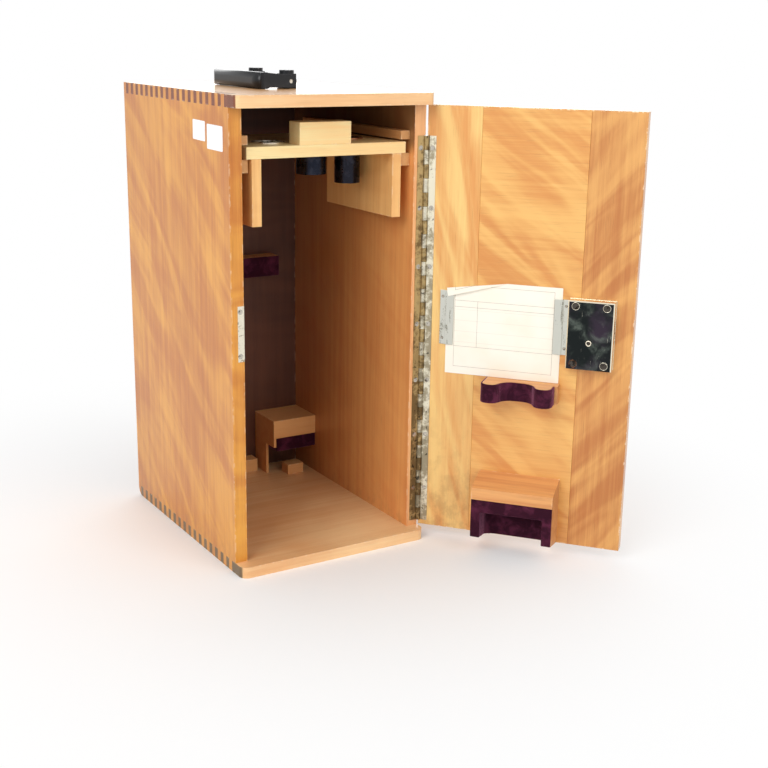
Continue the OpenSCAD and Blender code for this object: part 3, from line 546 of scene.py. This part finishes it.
# A cup's rim above the tray takes the rim colour; the wall below takes a dark colour that is partly dark
# metal and partly painted shade under the tray
def cup_finish(name, rim, wall_and_shade):
    finish = Finish(name, Metallic=0.9)
    place = finish.here()
    top = finish.rise(finish.split(place)[2], 0.3855, 0.3861)
    tarnish = finish.rise(finish.noise(place, scale=150, detail=4, rough=0.6), 0.45, 0.7)
    colour = finish.mix(top, finish.mix(tarnish * 0.4, wall_and_shade, srgb(70, 72, 84)), rim)
    finish.set(Base_Color=colour, Roughness=0.26 + tarnish * 0.2)
    return finish.material


case_leaf = leaf("hinge_case_leaf", srgb(186, 160, 110), srgb(96, 72, 42))
door_leaf = leaf("hinge_door_leaf", srgb(230, 224, 202), srgb(136, 124, 96))


def dress(material, *names):
    for name in names:
        mesh = nodes[name].data
        mesh.materials.clear()
        mesh.materials.append(material)


dress(case_leaf, "hinge_case_leaf")
dress(door_leaf, "hinge_door_leaf")
dress(clean_metal, "hinge_pin", "strike_plate", "lock_base_plate")
dress(steel_metal, "strike_screws", "hinge_case_screws", "hinge_door_screws", "rail_nails")
dress(steel_metal, "lock_bolt", "bolt_stud", "handle_pins")
dress(dark_steel, "lock_screws", "key_pin")
# The dark wall colours are partly painted shade under the tray
dress(cup_finish("cup_left", srgb(226, 218, 200), srgb(60, 60, 66)), "cup_left")
dress(cup_finish("cup_middle", srgb(150, 142, 136), srgb(30, 33, 44)), "cup_middle")
dress(cup_finish("cup_right", srgb(172, 116, 84), srgb(34, 34, 42)), "cup_right")
for node in ("card_rail_left", "card_rail_right"):
    softened(node, 0.15 * MM, rail_metal, least_length=4 * MM)
print("dressed the metal parts")

# %% [markdown]
# ## The lock case
#
# The face of the lock is dark and almost a mirror, with fine scratches, and only its
# bevelled rim is still bright. The face is found by the way it looks.

# %% Lock finish
face_way = Vector((-math.sin(DOOR_ANGLE), math.cos(DOOR_ANGLE), 0))
lock = Finish("lock_face", Metallic=1.0)
place = lock.here((0, 0, -DOOR_ANGLE))
facing = lock.node("TexCoord", out="Normal")
looks = lock.node("VectorMath", {0: facing, 1: face_way}, out="Value", operation="DOT_PRODUCT")
face = lock.rise(abs(looks), 0.9, 0.97)
haze = lock.rise(lock.noise(lock.stretched(place, (60, 60, 60)), detail=4, rough=0.6, bend=0.5), 0.45, 0.75)
bloom = lock.rise(lock.noise(lock.stretched(place, (38, 38, 38), (3, 1, 2)), detail=3, rough=0.5), 0.45, 0.7)
scratch = lock.rise(lock.noise(lock.stretched(place, (900, 900, 90)), detail=3, rough=0.7), 0.66, 0.74)
dark = lock.mix(haze * 0.6, lock.mix(bloom * 0.6, srgb(36, 40, 40), srgb(74, 60, 76)), srgb(120, 130, 120))
dark = lock.mix(scratch * 0.5, dark, srgb(190, 186, 172))
lock.set(Base_Color=lock.mix(face, srgb(240, 230, 206), dark), Roughness=0.2 + haze * 0.15 + scratch * 0.2)
dress(lock.material, "lock_case")
print("dressed the lock")

# %% [markdown]
# ## The handle
#
# The handle is moulded black plastic on enamelled posts. It isn't quite smooth: a
# slow ripple breaks up the highlights, and dust dulls the tops.

# %% Black finishes
def black(name, rough, coat, colour=srgb(12, 14, 19)):
    finish = Finish(name, Coat_Roughness=0.12, Specular_IOR_Level=0.25)
    place = finish.here()
    ripple = finish.noise(place, scale=140, detail=2)
    dust = finish.rise(finish.noise(place, scale=420, detail=4, rough=0.7), 0.55, 0.75)
    up = finish.rise(finish.split(finish.node("TexCoord", out="Normal"))[2], 0.3, 1.0)
    colour = finish.mix(dust * 0.06 + up * 0.03, colour, srgb(96, 96, 98))
    finish.set(Base_Color=colour, Roughness=rough + dust * 0.12, Coat_Weight=coat - dust * 0.2)
    finish.bump(ripple * 0.6 + dust * 0.1, 0.0001)
    return finish.material


ebonite = black("ebonite", 0.3, 0.25)
enamel = black("enamel", 0.4, 0.15, srgb(22, 23, 27))
softened("handle_posts", 0.7 * MM, enamel, least_length=3 * MM, segments=3)
softened("handle_grip", 0.9 * MM, ebonite, least_length=6 * MM, segments=3)
dress(enamel, "handle_caps")
print("dressed the handle")

# %% [markdown]
# ## Velvet
#
# Velvet is a pile of short threads. Seen along the threads it is dark, and at its
# edges it glows, which the sheen of the Principled shader imitates. The cloth is
# never quite even, so the pile is brushed lighter in patches. The shapes are cut
# from the solids that keep their room, remeshed finely and softened, so that each
# edge becomes a fold and not a corner.

# %% Velvet finish
def velvet(name, deep, brushed):
    finish = Finish(name, Sheen_Weight=1.0, Sheen_Roughness=0.35, Sheen_Tint=(*srgb(206, 134, 166), 1))
    finish.set(Roughness=0.9, Specular_IOR_Level=0.1)
    place = finish.here()
    patch = finish.rise(finish.noise(place, scale=70, detail=3, rough=0.6, bend=0.6), 0.42, 0.7)
    pile = finish.noise(place, scale=2600, detail=2, rough=0.7)
    colour = finish.mix(patch * 0.7 + (pile - 0.5) * 0.5, deep, brushed)
    finish.set(Base_Color=colour)
    finish.bump(pile * 0.6 + patch * 0.3, 0.0004)
    return finish.material


plum = velvet("plum_velvet", srgb(50, 16, 32), srgb(98, 42, 66))


# %% Cloth shapes
def cloth_from(node, voxel, rounds, ripple):
    bm = merged(node)
    draft = bpy.data.meshes.new("draft")
    bm.to_mesh(draft)
    bm.free()
    holder = bpy.data.objects.new("draft", draft)
    bpy.context.scene.collection.objects.link(holder)
    remesh = holder.modifiers.new("remesh", "REMESH")
    remesh.mode = "VOXEL"
    remesh.voxel_size = voxel
    bpy.context.view_layer.update()
    cut = bpy.data.meshes.new_from_object(holder.evaluated_get(bpy.context.evaluated_depsgraph_get()))
    bpy.data.objects.remove(holder)
    bm = bmesh.new()
    bm.from_mesh(cut)
    for _ in range(rounds):
        bmesh.ops.smooth_vert(bm, verts=bm.verts, factor=0.5, use_axis_x=True, use_axis_y=True,
                              use_axis_z=True)
    bm.normal_update()
    for vertex in bm.verts:
        vertex.co += vertex.normal * ripple * noise.noise(vertex.co * 90)
    made = piece_of("cloth_" + node, bm, plum, nodes[node]["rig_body"])
    made.data.polygons.foreach_set("use_smooth", [True] * len(made.data.polygons))
    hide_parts(node)
    print(made.name, len(made.data.polygons), "faces")
    return made


# %% Velvet pads and linings
for side in ("left", "right"):
    cloth_from("bridge_pad_" + side, 1.2 * MM, 4, 0.4 * MM)
for node in ("back_pad_velvet", "upper_cradle_velvet", "lower_cradle_velvet"):
    cloth_from(node, 0.6 * MM, 2, 0.15 * MM)

# %% [markdown]
# ## The record card
#
# A printed card stands behind two metal rails. Its upper corner at the hinge has been
# folded forwards. The card is a grid whose corner is cut by a bisect, and the
# fold is a second small sheet. Its printing is only ruled lines, drawn by the shader
# in the card's own UV map.

# %% From the door's own measures to the room
def on_door(s, n, z):
    cos, sin = math.cos(DOOR_ANGLE), math.sin(DOOR_ANGLE)
    across, out = (-s - 0.6) * MM, (n - 0.8) * MM
    return Vector((PIN.x + across * cos - out * sin, PIN.y + across * sin + out * cos, z * MM))


CARD_S, CARD_Z, CARD_W, CARD_H = 23.0, 169.3, 109.6, 90.0
CARD_COLUMNS, CARD_ROWS = 60, 48
PAPER_THICK = 0.25 * MM


def card_sheet(cut_to, bend):
    bm = bmesh.new()
    bmesh.ops.create_grid(bm, x_segments=CARD_COLUMNS, y_segments=CARD_ROWS, size=0.5)
    for vertex in bm.verts:
        vertex.co.x = (vertex.co.x + 0.5) * CARD_W
        vertex.co.y = (vertex.co.y + 0.5) * CARD_H
    cut_to(bm)
    uv = bm.loops.layers.uv.new("card")
    for face in bm.faces:
        for loop in face.loops:
            loop[uv].uv = (loop.vert.co.x, loop.vert.co.y)
    for vertex in bm.verts:
        vertex.co = bend(vertex.co.x, vertex.co.y)
    bm.normal_update()
    bmesh.ops.solidify(bm, geom=bm.faces[:], thickness=PAPER_THICK)
    bmesh.ops.recalc_face_normals(bm, faces=bm.faces[:])
    return bm


FOLD_LOW = Vector((0, 82.0, 0))
FOLD_HIGH = Vector((58, 90.0, 0))
CARD_OFF_DOOR, FOLD_OFF_DOOR = 0.42, 0.5
fold_way = (FOLD_HIGH - FOLD_LOW).normalized()
fold_out = Vector((-fold_way.y, fold_way.x, 0))


def keep_side(bm, folded):
    geometry = bm.verts[:] + bm.edges[:] + bm.faces[:]
    bmesh.ops.bisect_plane(bm, geom=geometry, dist=1e-5, plane_co=FOLD_LOW, plane_no=fold_out,
                           clear_outer=not folded, clear_inner=folded)


def lie(x, y):
    wave = 0.12 * math.sin(x * 0.09) + 0.15 * math.sin(y * 0.07 + 1)
    return on_door(CARD_S + x, CARD_OFF_DOOR + wave * 0.6, CARD_Z + y)


def fold_over(x, y):
    point = Vector((x, y, 0))
    beyond = max(0.0, (point - FOLD_LOW).dot(fold_out))
    foot = point - fold_out * beyond
    turned = foot - fold_out * beyond * 0.93
    lift = FOLD_OFF_DOOR + 1.7 * min(1, beyond / 3) + 0.12 * beyond
    return on_door(CARD_S + turned.x, lift, CARD_Z + turned.y)


card_bm = card_sheet(lambda bm: keep_side(bm, False), lie)
flap_bm = card_sheet(lambda bm: keep_side(bm, True), fold_over)

# %% Where the lines of the card are ruled
FRAME_LEFT, FRAME_RIGHT = 8.0, 102.3
FRAME_FOOT, FRAME_TOP = 7.3, 85.5
TABLE_FOOT, HEADING, TABLE_TOP = 27, 65, 71
FIRST_COLUMN, ROW_GAP = 30, 5.2
LINE_HALF, LINE_BLUR = 0.1, 0.14


def ruled(finish, value, at):
    return 1 - finish.rise(abs(value - at), LINE_HALF, LINE_HALF + LINE_BLUR)


def between(finish, value, low, high):
    return finish.rise(value, low - 0.1, low) * (1 - finish.rise(value, high, high + 0.1))


# %% Paper finish
paper = Finish("card_paper", Roughness=0.75, Specular_IOR_Level=0.25)
uv = paper.node("UVMap", uv_map="card")
x, y, _ = paper.split(uv)
uprights = sum(ruled(paper, x, at) for at in (FRAME_LEFT, FRAME_RIGHT))
level_lines = sum(ruled(paper, y, at) for at in (FRAME_FOOT, FRAME_TOP, TABLE_FOOT, TABLE_TOP, HEADING))
table = between(paper, y, TABLE_FOOT + 0.1, TABLE_TOP)
rows = paper.node("Math", {0: y, 1: ROW_GAP}, operation="PINGPONG")
faint = (1 - paper.rise(rows, 0.08, 0.2)) * table * 0.35
upright_ink = uprights * between(paper, y, FRAME_FOOT, FRAME_TOP) + ruled(paper, x, FIRST_COLUMN) * table
level_ink = (level_lines + faint) * between(paper, x, FRAME_LEFT, FRAME_RIGHT)
ink = (upright_ink + level_ink) * 0.62
fibre = paper.noise(uv, scale=1.2, detail=4, rough=0.7)
age = paper.noise(uv, scale=0.03, detail=3)
yellowed = paper.rise(age, 0.35, 0.75) * 0.3 + (fibre - 0.5) * 0.1
tint = paper.mix(yellowed, srgb(252, 247, 234), srgb(240, 228, 200))
paper.set(Base_Color=paper.mix(ink, tint, srgb(112, 100, 84)))
paper.bump(fibre, 0.00003)

card = piece_of("record_card_paper", card_bm, paper.material, "card")
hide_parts("record_card")
flap = piece_of("record_card_fold", flap_bm, paper.material, "card")
print("card", len(card.data.polygons), "faces, fold", len(flap.data.polygons))

# %% [markdown]
# ## Bright rings on the lock
#
# The screws have turned dark, and only a thin bright ring is left around each of
# them and around the keyhole. A small circle, spun about the screw, makes each ring.

# %% Rings
def ring(name, s, n, z, radius, thick, material):
    bm = bmesh.new()
    centre = on_door(s, n, z)
    across = on_door(s + 1, n, z) - centre
    away = on_door(s, n + 1, z) - centre
    seat = Matrix((across.normalized(), away.normalized(), Vector((0, 0, 1)))).transposed().to_4x4()
    start = Matrix.Translation(centre + across.normalized() * radius * MM) @ seat
    bmesh.ops.create_circle(bm, segments=10, radius=thick * MM, matrix=start)
    bmesh.ops.spin(bm, geom=bm.verts[:] + bm.edges[:], cent=centre, axis=away.normalized(), dvec=(0, 0, 0),
                   angle=2 * math.pi, steps=40, use_merge=True)
    bmesh.ops.remove_doubles(bm, verts=bm.verts, dist=1e-6)
    bmesh.ops.recalc_face_normals(bm, faces=bm.faces[:])
    made = piece_of(name, bm, material, nodes["lock_case"]["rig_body"])
    made.data.polygons.foreach_set("use_smooth", [True] * len(made.data.polygons))


LOCK_S, LOCK_Z, LOCK_W, LOCK_H = 139.7, 187.5, 42.3, 63.5
SCREW_IN_S, SCREW_IN_Z = 7.0, 5.0
KEYHOLE_S, KEYHOLE_UP, BOSS_TOP = 160.2, 25.2, 0.8
door_face = on_door(0, 0, 0)
outwards = on_door(0, 1, 0) - door_face
reaches = [(vertex.co - door_face).dot(outwards) / MM ** 2 for vertex in nodes["lock_case"].data.vertices]
LOCK_FACE = max(reaches)
print("the lock's face is", round(LOCK_FACE, 2), "mm off the door")
rusty = plate("rusty_ring", srgb(140, 96, 66), srgb(70, 44, 30), 0.4)
corners = [(s, z) for z in (SCREW_IN_Z, LOCK_H - SCREW_IN_Z) for s in (SCREW_IN_S, LOCK_W - SCREW_IN_S)]
for step, (s, z) in enumerate(corners):
    metal = rusty if step == 0 else clean_metal
    ring("screw_ring_" + str(step), LOCK_S + s, LOCK_FACE + 0.1, LOCK_Z + z, 3.4, 0.3, metal)
ring("keyhole_ring", KEYHOLE_S, LOCK_FACE + BOSS_TOP, LOCK_Z + KEYHOLE_UP, 2.2, 0.6, clean_metal)
print("rings are on the lock")

# %% [markdown]
# ## Stickers
#
# Two small paper labels with round corners are stuck to the left side. They stay bare.

# %% Stickers
LABEL_CORNER, LABEL_THICK, LABEL_PROUD = 1.2 * MM, 0.15 * MM, 0.16 * MM
LABEL_WHITE, LABEL_GREY = srgb(250, 250, 250), srgb(222, 222, 222)


def sticker(name, y0, y1, z0, z1, tilt):
    bm = bmesh.new()
    bmesh.ops.create_grid(bm, x_segments=1, y_segments=1, size=0.5)
    bmesh.ops.scale(bm, verts=bm.verts, vec=((y1 - y0) * MM, (z1 - z0) * MM, 1))
    bmesh.ops.bevel(bm, geom=bm.verts[:], offset=LABEL_CORNER, segments=4, profile=0.5,
                    affect="VERTICES", material=-1)
    bmesh.ops.solidify(bm, geom=bm.faces[:], thickness=LABEL_THICK)
    bmesh.ops.recalc_face_normals(bm, faces=bm.faces[:])
    seat = Vector((-HALF_WIDTH, (y0 + y1) / 2, (z0 + z1) / 2)) * MM
    stand = Matrix.Rotation(math.pi / 2, 4, "Z") @ Matrix.Rotation(math.pi / 2, 4, "X")
    bm.transform(Matrix.Translation(seat) @ Matrix.Rotation(tilt, 4, "X") @ stand)
    outside = min(vertex.co.x for vertex in bm.verts)
    bmesh.ops.translate(bm, verts=bm.verts, vec=(seat.x - LABEL_PROUD - outside, 0, 0))
    label = Finish(name, Roughness=0.55, Specular_IOR_Level=0.3)
    grime = label.noise(label.here(), scale=300, detail=4, rough=0.7)
    label.set(Base_Color=label.mix(label.rise(grime, 0.5, 0.8) * 0.4, LABEL_WHITE, LABEL_GREY))
    label.bump(grime, 0.00002)
    return piece_of(name, bm, label.material, "case")


sticker("sticker_small", -65.5, -39.4, 388, 405.3, math.radians(1))
sticker("sticker_large", -101.5, -69.5, 382, 403.3, math.radians(0.5))
print("two stickers are on")

# %% [markdown]
# ## Floor, backdrop and light
#
# The case stands on white paper in soft daylight. The floor is real and takes the
# shadow, and further out it becomes plain white, so that no horizon shows.

# %% Stage
FLOOR_RADIUS = 9
SHADOW_FADE = (0.12, 0.6)
bm = bmesh.new()
bmesh.ops.create_circle(bm, cap_ends=True, segments=96, radius=FLOOR_RADIUS)
floor_mesh = bpy.data.meshes.new("floor")
bm.to_mesh(floor_mesh)
bm.free()
floor = bpy.data.objects.new("floor", floor_mesh)
bpy.context.scene.collection.objects.link(floor)
paper_floor = Finish("floor", Roughness=0.8, Specular_IOR_Level=0.1, Base_Color=srgb(252, 252, 252))
reach = paper_floor.node("VectorMath", {0: paper_floor.here()}, out="Value", operation="LENGTH")
rays = ["Is Camera Ray", "Is Glossy Ray", "Is Transmission Ray"]
seen = sum(paper_floor.node("LightPath", out=kind) for kind in rays)
seen = paper_floor.node("Math", {0: seen, 1: 1.0}, operation="MINIMUM")
glow = paper_floor.node("Emission", {"Color": (1, 1, 1), "Strength": 1.0})
plain = Val(paper_floor, paper_floor.shader.outputs[0])
far = paper_floor.rise(reach, *SHADOW_FADE) * seen
blend = paper_floor.node("MixShader", {0: far, 1: plain, 2: glow})
output = next(n for n in paper_floor.tree.nodes if n.type == "OUTPUT_MATERIAL")
paper_floor.tree.links.new(blend.socket, output.inputs["Surface"])
floor_mesh.materials.append(paper_floor.material)

# %% World
world = bpy.data.worlds.new("daylight")
world.use_nodes = True
bpy.context.scene.world = world
tree = world.node_tree
tree.nodes.clear()
path = tree.nodes.new("ShaderNodeLightPath")
sharp_rays = tree.nodes.new("ShaderNodeMath")
sharp_rays.operation = "MAXIMUM"
tree.links.new(path.outputs["Is Glossy Ray"], sharp_rays.inputs[0])
tree.links.new(path.outputs["Is Transmission Ray"], sharp_rays.inputs[1])
shown = tree.nodes.new("ShaderNodeMath")
shown.operation = "MAXIMUM"
tree.links.new(path.outputs["Is Camera Ray"], shown.inputs[0])
tree.links.new(sharp_rays.outputs[0], shown.inputs[1])
sky = tree.nodes.new("ShaderNodeMixShader")
dome = tree.nodes.new("ShaderNodeBackground")
dome.inputs["Color"].default_value = (1, 1, 1, 1)
dome.inputs["Strength"].default_value = 0.56
white = tree.nodes.new("ShaderNodeBackground")
white.inputs["Strength"].default_value = 1.0
white.inputs["Color"].default_value = (1, 1, 1, 1)
ending = tree.nodes.new("ShaderNodeOutputWorld")
tree.links.new(shown.outputs[0], sky.inputs[0])
tree.links.new(dome.outputs[0], sky.inputs[1])
tree.links.new(white.outputs[0], sky.inputs[2])
tree.links.new(sky.outputs[0], ending.inputs[0])


# %% Lamps
def softbox(name, at, towards, size, watts):
    light = bpy.data.lights.new(name, "AREA")
    light.shape = "RECTANGLE"
    light.size, light.size_y = size
    light.energy = watts
    lamp = bpy.data.objects.new(name, light)
    look = (Vector(towards) - Vector(at)).to_track_quat("-Z", "Y")
    lamp.matrix_world = Matrix.Translation(Vector(at)) @ look.to_matrix().to_4x4()
    lamp.visible_camera = False
    bpy.context.scene.collection.objects.link(lamp)


softbox("key", (-1.75, -0.95, 1.5), (0, -0.05, 0.2), (1.4, 1.4), 26)
softbox("fill", (0.5, -1.9, 1.1), (0.05, -0.1, 0.2), (1.2, 1.2), 10)
softbox("back", (0.9, 1.6, 1.0), (0, 0, 0.4), (2.2, 1.2), 14)

scene = bpy.context.scene
scene.view_settings.view_transform = "Standard"
print("lit by a dome and three softboxes")
